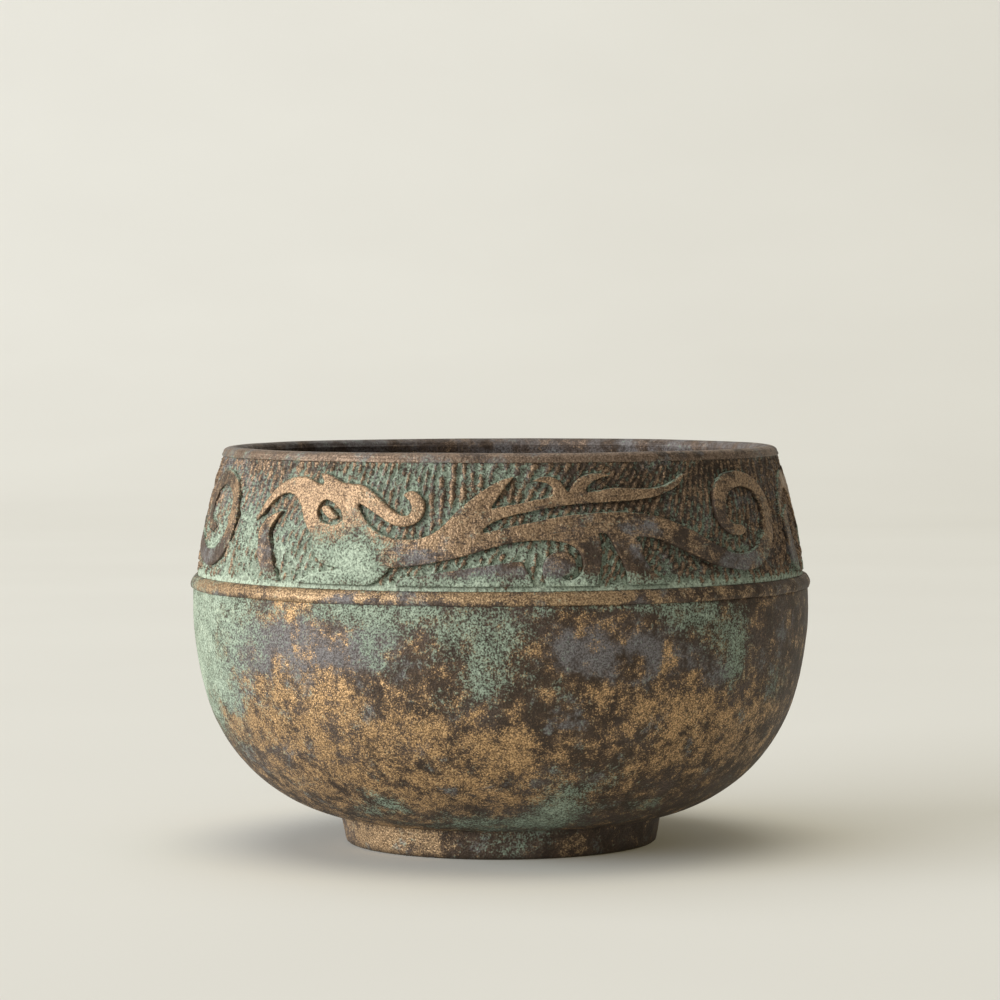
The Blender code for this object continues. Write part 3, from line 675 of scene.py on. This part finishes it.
def patina(
    name,
    metal=(GOLD_DEEP, GOLD_BRIGHT),
    grain_size=0.235 * MM,
    lines=0.0,
    rub_bias=0.0,
    rub_gain=1.0,
    rub_soft=0.16,
    green_bias=0.0,
    cavity=0.55,
    earth=0.45,
    ground=False,
    relief=False,
    has_painted_shade=False,
):
    """Aged bronze: brown metal under haze, rubbed speckle and green crust, as dense as painted.

    rub_bias, rub_gain and rub_soft say how much is rubbed and how soft its edges are, cavity and
    earth how dark the pits and how brown the rubbed ground are, and lines how deep the turning
    marks. The last three flags add what only the ground, the reliefs and the foot have painted
    on them, and for the ground and the foot that includes painted shade: in the chisel grooves,
    under each relief and along the foot's bottom.
    """
    g = Graph(name)
    fine = g.spread(g.noise(grain_size, 2.0, 0.5))
    crumb = g.spread(g.noise(grain_size * 1.25, 1.0, 0.5, shift=3.7))
    grain = g.spread(g.noise(0.75 * MM, 2.0, 0.6))
    thread = g.noise(grain_size * 2.2, 1.0, 0.5, shift=5.3)
    vein = g.band(g.math("ABSOLUTE", g.math("SUBTRACT", thread, 0.5)), 0.0, 0.045, 1.0, 0.0)
    clump = g.spread(g.noise(2.5 * MM, 4.0, 0.62))
    cloud = g.spread(g.noise(4.2 * MM, 4.0, 0.6, shift=8.1))
    broad = g.spread(g.noise(11 * MM, 3.0, 0.55))
    speck = g.math("MULTIPLY_ADD", fine, 0.55, g.math("MULTIPLY", grain, 0.45))

    base = g.mix(g.band(clump, 0.15, 0.85), BROWN_DARK, BROWN_WARM)
    base = g.mix(g.band(broad, 0.3, 0.9, 0.0, 0.8), base, MAUVE)
    base = g.mix(g.band(speck, 0.45, 1.0, 0.0, 0.42), base, TAN)

    haze = g.add_scaled(g.attribute("haze"), cloud, 0.95)
    haze = g.add_scaled(haze, grain, 0.35)
    haze_mask = g.band(haze, 0.22, 0.95, 0.0, 0.8)
    colour = g.mix(haze_mask, base, HAZE_BLUE)

    rub = g.add_scaled(g.math("MULTIPLY", g.attribute("rubbed"), rub_gain), clump, 0.75)
    rub = g.add_scaled(rub, cloud, -0.40)
    rub = g.math("ADD", rub, rub_bias)
    if ground:
        rub = g.add_scaled(rub, g.attribute("groove"), 1.1, 0.62)
    if relief:
        rub = g.add_scaled(rub, g.attribute("proud"), 0.7, 0.9)
        streak = g.spread(g.noise(0.9 * MM, 3.0, 0.6, stretch=(2.6, 2.6, 0.30)))
        rub = g.add_scaled(rub, streak, 0.5)
    colour = g.mix(g.band(rub, 0.15, 0.70, 0.0, earth), colour, EARTH)
    rub = g.math("ADD", rub, speck)
    rub_edge = 0.96
    rub_mask = g.band(rub, rub_edge - rub_soft, rub_edge + rub_soft)
    bright = g.math("MULTIPLY_ADD", fine, 0.95, g.math("MULTIPLY_ADD", clump, 0.35, -0.16))
    gold = g.mix(bright, *metal)
    colour = g.mix(g.math("MULTIPLY", rub_mask, 0.88), colour, gold)
    islands = g.band(g.math("MULTIPLY_ADD", g.attribute("haze"), 0.35, cloud), 0.74, 1.02, 0.0, 0.6)
    colour = g.mix(g.math("MULTIPLY", islands, g.band(grain, 0.15, 0.6)), colour, HAZE_BLUE)

    green = g.add_scaled(g.attribute("verdigris"), cloud, 0.55)
    green = g.math("ADD", green, green_bias)
    if ground:
        green = g.add_scaled(green, g.attribute("groove"), -0.95, 0.42)
        green = g.math("MULTIPLY_ADD", g.attribute("crevice"), 0.55, green)
    if relief:
        green = g.math("MULTIPLY_ADD", g.attribute("ledge"), 0.95, green)
    crust = g.math("MULTIPLY_ADD", crumb, 0.55, g.math("MULTIPLY", grain, 0.45))
    green = g.math("ADD", green, crust)
    green_mask = g.band(green, 0.74, 1.32)
    mint = g.mix(g.band(green, 1.05, 2.1), MINT, MINT_PALE)
    mint = g.mix(g.band(fine, 0.15, 0.5, 0.45, 0.0), mint, MINT_DEEP)
    colour = g.mix(g.math("MULTIPLY", green_mask, 0.9), colour, mint)

    # Dark random pits and veins, with painted shade added to them below.
    pits_and_shade = g.band(crumb, 0.22, 0.50, cavity, 0.0)
    pits_and_shade = g.math("MAXIMUM", pits_and_shade, g.math("MULTIPLY", vein, cavity * 0.9))
    pits_and_shade = g.math("MULTIPLY", pits_and_shade, g.band(green, 0.9, 2.1, 1.0, 0.25))
    # Painted shade: darker the deeper the chisel groove.
    if ground:
        pits_and_shade = g.math("MAXIMUM", pits_and_shade, g.band(g.attribute("groove"), 0.0, 0.30, 0.5, 0.0))
    # Painted shade: the shadow under each relief on the ground, and along the foot's bottom.
    if ground or has_painted_shade:
        pits_and_shade = g.math("MAXIMUM", pits_and_shade, g.math("MULTIPLY", g.attribute("painted_shade"), 0.8))
    colour = g.mix(pits_and_shade, colour, DARK)

    shader = g.node("ShaderNodeBsdfPrincipled")
    g.feed(shader.inputs["Base Color"], colour)
    bare = g.math("SUBTRACT", 1.0, green_mask)
    metallic = g.math("MULTIPLY_ADD", rub_mask, 0.45, 0.10)
    g.feed(shader.inputs["Metallic"], g.math("MULTIPLY", metallic, bare))
    rough = g.math("MULTIPLY_ADD", rub_mask, -0.14, 0.62)
    rough = g.add_scaled(rough, fine, 0.14)
    g.feed(shader.inputs["Roughness"], g.math("MULTIPLY_ADD", green_mask, 0.22, rough))
    shader.inputs["Specular IOR Level"].default_value = 0.32

    height = g.math("MULTIPLY_ADD", crumb, 0.7, g.math("MULTIPLY", grain, 0.45))
    height = g.math("MULTIPLY_ADD", green_mask, 0.3, height)
    if lines:
        turning = g.noise(1.0 * MM, 2.0, 0.5, stretch=(16.0, 16.0, 0.30))
        height = g.add_scaled(height, turning, lines)
    bump = g.node("ShaderNodeBump")
    bump.inputs["Strength"].default_value = 0.8
    bump.inputs["Distance"].default_value = 0.09 * MM
    g.feed(bump.inputs["Height"], height)
    g.feed(shader.inputs["Normal"], bump.outputs["Normal"])
    out = g.node("ShaderNodeOutputMaterial")
    g.feed(out.inputs["Surface"], shader.outputs["BSDF"])
    return g.material


def stage_material(name, colour, other, glow):
    """A matt pale surface with slow clouds in its colour.

    It is darker towards the window, out of view, where the light would bleach it, and it glows
    faintly away from the bowl's foot, so that the bowl's shadow is pale.
    """
    g = Graph(name)
    shader = g.node("ShaderNodeBsdfPrincipled")
    place = g.node("ShaderNodeSeparateXYZ")
    g.feed(place.inputs["Vector"], g.place)
    pale = g.mix(g.spread(g.noise(150 * MM, 2.0)), colour, other)
    shaded = tuple(WINDOW_SHADE * value for value in colour)
    from_window = g.band(place.outputs["X"], NEAR_WINDOW, FROM_WINDOW)
    g.feed(shader.inputs["Base Color"], g.mix(from_window, shaded, pale))
    shader.inputs["Roughness"].default_value = 1.0
    shader.inputs["Specular IOR Level"].default_value = 0.0
    shader.inputs["Emission Color"].default_value = (*glow, 1.0)
    away = g.node("ShaderNodeVectorMath", operation="LENGTH")
    g.feed(away.inputs[0], g.place)
    strength = g.band(away.outputs["Value"], GLOW_FROM, GLOW_FULL, GLOW_UNDER_BOWL, 1.0)
    g.feed(shader.inputs["Emission Strength"], strength)
    out = g.node("ShaderNodeOutputMaterial")
    g.feed(out.inputs["Surface"], shader.outputs["BSDF"])
    return g.material


# ---------------------------------------------------------------------------------------------
# Assembly
# ---------------------------------------------------------------------------------------------


def finish_piece(piece, material, slot, *nodes):
    """Gives a piece its material and its place in the frame."""
    piece.data.materials.append(material)
    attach(piece, "root")
    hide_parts(*nodes)


def within(points):
    """Whether points are on the bowl's inside."""
    radius = np.hypot(points[:, 0], points[:, 1])
    height = points[:, 2]
    side_radius, base_radius = SIDE_ARC_RADIUS - 1.5 * MM, BASE_ARC_RADIUS - 1.5 * MM
    side_reach = SIDE_ARC_RADIUS * 0.27  # down to where the two arcs meet
    wall = frieze_radius(height) - 1.2 * MM
    rise = np.clip(height - SIDE_CENTRE[1], -side_reach, 0.0)
    side = SIDE_CENTRE[0] + np.sqrt(side_radius**2 - rise**2)
    drop = np.clip(height - BASE_CENTRE[1], -base_radius, 0.0)
    base = BASE_CENTRE[0] + np.sqrt(np.maximum(base_radius**2 - drop**2, 0.0))
    low = height < SIDE_CENTRE[1] - side_reach
    limit = np.where(height > SEAM_HEIGHT, wall, np.where(low, base, side))
    return (radius < limit) & (height > 5.5 * MM)


def mouth(points):
    """Whether points are on the inner half of the lip."""
    return np.hypot(points[:, 0], points[:, 1]) < RIM_LOW_RADIUS - 1.7 * MM


def build_bowl():
    """The belly, the rim, the rib and the foot."""
    belly = turned_piece("belly", belly_profile(), belly_shape, segments=480, closed=False)
    weather(belly, VERDIGRIS, RUBBED, HAZE, within)
    material = patina(
        "belly_patina",
        grain_size=0.215 * MM,
        lines=0.5,
        rub_bias=0.065,
        rub_gain=0.59,
        rub_soft=0.30,
        cavity=0.62,
        earth=0.7,
    )
    finish_piece(belly, material, "belly_bronze", "bowl")

    rim = turned_piece("rim", rim_profile(), rim_shape, segments=720)
    weather(rim, RIM_VERDIGRIS, RIM_RUBBED, RIM_HAZE, mouth)
    material = patina("rim_patina", (RIM_DEEP, RIM_BRIGHT), lines=2.6, rub_soft=0.35, cavity=0.36)
    finish_piece(rim, material, "rim_bronze", "rim_band")

    rib = turned_piece("rib", rib_profile(), rib_shape, segments=900)
    weather(rib, RIB_VERDIGRIS, RIB_RUBBED, RIB_HAZE)
    material = patina("rib_patina", (RIB_DEEP, RIB_BRIGHT), lines=0.3, rub_soft=0.25)
    finish_piece(rib, material, "rib_bronze", "rib_band")

    foot = turned_piece("foot", foot_profile(), foot_shape, segments=480)
    weather(foot, VERDIGRIS, RUBBED, HAZE)
    # Painted shade along the foot's bottom, darkest at the floor.
    height = mesh_points(foot.data)[:, 2]
    paint(foot, "painted_shade", np.clip(1.0 - height / FOOT_SHADE_HEIGHT, 0.0, 1.0))
    material = patina(
        "foot_patina", (RIB_DEEP, RIB_BRIGHT), lines=0.3, rub_bias=-0.04, rub_soft=0.25, has_painted_shade=True
    )
    finish_piece(foot, material, "foot_bronze", "foot_ring")


def build_ground(reliefs):
    """The frieze's chiselled ground, with green gathered along the reliefs' edges and a painted
    shadow under them.
    """
    profile = wall_profile()
    ground = turned_piece("frieze_ground", profile, ground_shape, segments=1100, sharp=75.0)
    weather(ground, GROUND_VERDIGRIS, GROUND_RUBBED, GROUND_HAZE, within)
    points = mesh_points(ground.data)
    azimuth = np.arctan2(points[:, 0], -points[:, 1]) % math.tau
    outside = ~within(points)
    paint(ground, "groove", np.where(outside, chisel_height(azimuth, points[:, 2]), 0.6))

    # The points about half way up each relief's edge, which the ground's points are measured from.
    edges = np.vstack([mesh_points(relief.data) for relief in reliefs])
    proud = np.hypot(edges[:, 0], edges[:, 1]) - frieze_radius(edges[:, 2])
    edges = edges[(proud > 0.35 * MM) & (proud < 0.65 * MM)]
    tree = kdtree.KDTree(len(edges))
    for index, point in enumerate(edges):
        tree.insert(point, index)
    tree.balance()

    # Green gathers on the ground above an edge, and a painted shadow darkens the ground below it.
    crevice = np.zeros(len(points))
    painted_shade = np.zeros(len(points))
    near = np.zeros(len(points))
    for index in np.flatnonzero(outside & (points[:, 2] > FRIEZE_FOOT - 0.5 * MM)):
        nearest, _, distance = tree.find(points[index])
        above = points[index][2] - nearest.z
        near[index] = max(0.0, 1.0 - distance / GREEN_REACH)
        if above > 0.0:
            crevice[index] = near[index]
        else:
            crevice[index] = 0.35 * near[index]
            painted_shade[index] = max(0.0, 1.0 - distance / SHADOW_REACH)
    radius = np.hypot(points[:, 0], points[:, 1])
    points[:, :2] *= (1.0 - MOAT * near / radius)[:, None]
    ground.data.vertices.foreach_set("co", points.astype(np.float32).ravel())
    ground.data.update()
    above_rib = (points[:, 2] - FRIEZE_FOOT) / GREEN_REACH
    crevice = np.maximum(crevice, np.clip(1.0 - above_rib, 0.0, 1.0) * outside)
    paint(ground, "crevice", crevice)
    paint(ground, "painted_shade", painted_shade)
    material = patina(
        "ground_patina", (RIM_DEEP, GROUND_BRIGHT), green_bias=0.04, cavity=0.66, ground=True
    )
    finish_piece(ground, material, "frieze_ground", "frieze_wall")


def build_dragons():
    """Each dragon's four reliefs."""
    material = patina(
        "relief_patina", (BRONZE_DEEP, BRONZE_BRIGHT), rub_soft=0.34, earth=0.75, relief=True
    )
    reliefs = []
    for number in (1, 2, 3):
        for kind in ("body", "claw", "eye", "foreleg"):
            node = f"dragon_{number}_{kind}"
            piece = relief_piece(node, node + "_relief")
            points = mesh_points(piece.data)
            weather(piece, RELIEF_VERDIGRIS, RELIEF_RUBBED, RELIEF_HAZE, turns=DRAGON_TURNS)
            radius = np.hypot(points[:, 0], points[:, 1])
            above_wall = radius - frieze_radius(points[:, 2])
            proud = np.clip((above_wall - 0.2 * MM) / (0.75 * MM), 0.0, 1.0)
            paint(piece, "proud", proud)
            normals = np.empty(len(points) * 3, np.float32)
            piece.data.vertices.foreach_get("normal", normals)
            upward = np.clip(normals.reshape(-1, 3)[:, 2] - 0.15, 0.0, 1.0)
            paint(piece, "ledge", upward * np.clip(1.8 - 1.6 * proud, 0.0, 1.0))
            finish_piece(piece, material, "relief_bronze", node)
            reliefs.append(piece)
    return reliefs


def area_light(name, place, target, size, energy, colour):
    """A soft rectangular light that faces a target; size is its width and height."""
    data = bpy.data.lights.new(name, "AREA")
    data.shape = "RECTANGLE"
    data.size, data.size_y = size
    data.energy = energy
    data.color = colour
    light = bpy.data.objects.new(name, data)
    light.location = place
    light.rotation_mode = "QUATERNION"
    light.rotation_quaternion = (Vector(target) - Vector(place)).to_track_quat("-Z", "Y")
    bpy.context.scene.collection.objects.link(light)


def build_stage():
    """The table that sweeps up behind, the lights and the camera."""
    section = [(TABLE_FRONT, 0.0), (TABLE_DEEP - TABLE_BEND, 0.0)]
    section += arc((TABLE_DEEP - TABLE_BEND, TABLE_BEND), TABLE_BEND, -90.0, 0.0, 0.02)
    section.append((TABLE_DEEP, TABLE_HIGH))
    points = [(x, y, z) for y, z in section for x in (-TABLE_WIDE / 2, TABLE_WIDE / 2)]
    faces = [[2 * i, 2 * i + 1, 2 * i + 3, 2 * i + 2] for i in range(len(section) - 1)]
    mesh = bpy.data.meshes.new("table_sweep")
    mesh.from_pydata(points, [], faces)
    mesh.shade_smooth()
    mesh.materials.append(stage_material("pale_table", TABLE_PALE, TABLE_CLOUD, TABLE_GLOW))
    floor = bpy.data.objects.new("table_sweep", mesh)
    bpy.context.scene.collection.objects.link(floor)

    for light in LIGHTS:
        area_light(*light)

    # The bowl is lit by the fill; the camera sees the pale colour instead.
    world = bpy.data.worlds.new("studio")
    world.use_nodes = True
    tree = world.node_tree
    fill = tree.nodes["Background"]
    fill.inputs["Color"].default_value = FILL_COLOUR
    fill.inputs["Strength"].default_value = FILL_STRENGTH
    seen = tree.nodes.new("ShaderNodeBackground")
    seen.inputs["Color"].default_value = SEEN_COLOUR
    rays = tree.nodes.new("ShaderNodeLightPath")
    either = tree.nodes.new("ShaderNodeMixShader")
    tree.links.new(rays.outputs["Is Camera Ray"], either.inputs[0])
    tree.links.new(fill.outputs[0], either.inputs[1])
    tree.links.new(seen.outputs[0], either.inputs[2])
    tree.links.new(either.outputs[0], tree.nodes["World Output"].inputs["Surface"])
    bpy.context.scene.world = world
    bpy.context.scene.view_settings.view_transform = "Standard"

    data = bpy.data.cameras.new("camera")
    data.lens = CAMERA_LENS
    data.sensor_width = CAMERA_SENSOR
    camera = bpy.data.objects.new("camera", data)
    camera.location = CAMERA_PLACE
    camera.rotation_euler = (math.radians(90.0 - CAMERA_DOWN), math.radians(CAMERA_ROLL), 0.0)
    bpy.context.scene.collection.objects.link(camera)
    bpy.context.scene.camera = camera


build_stage()
build_bowl()
build_ground(build_dragons())
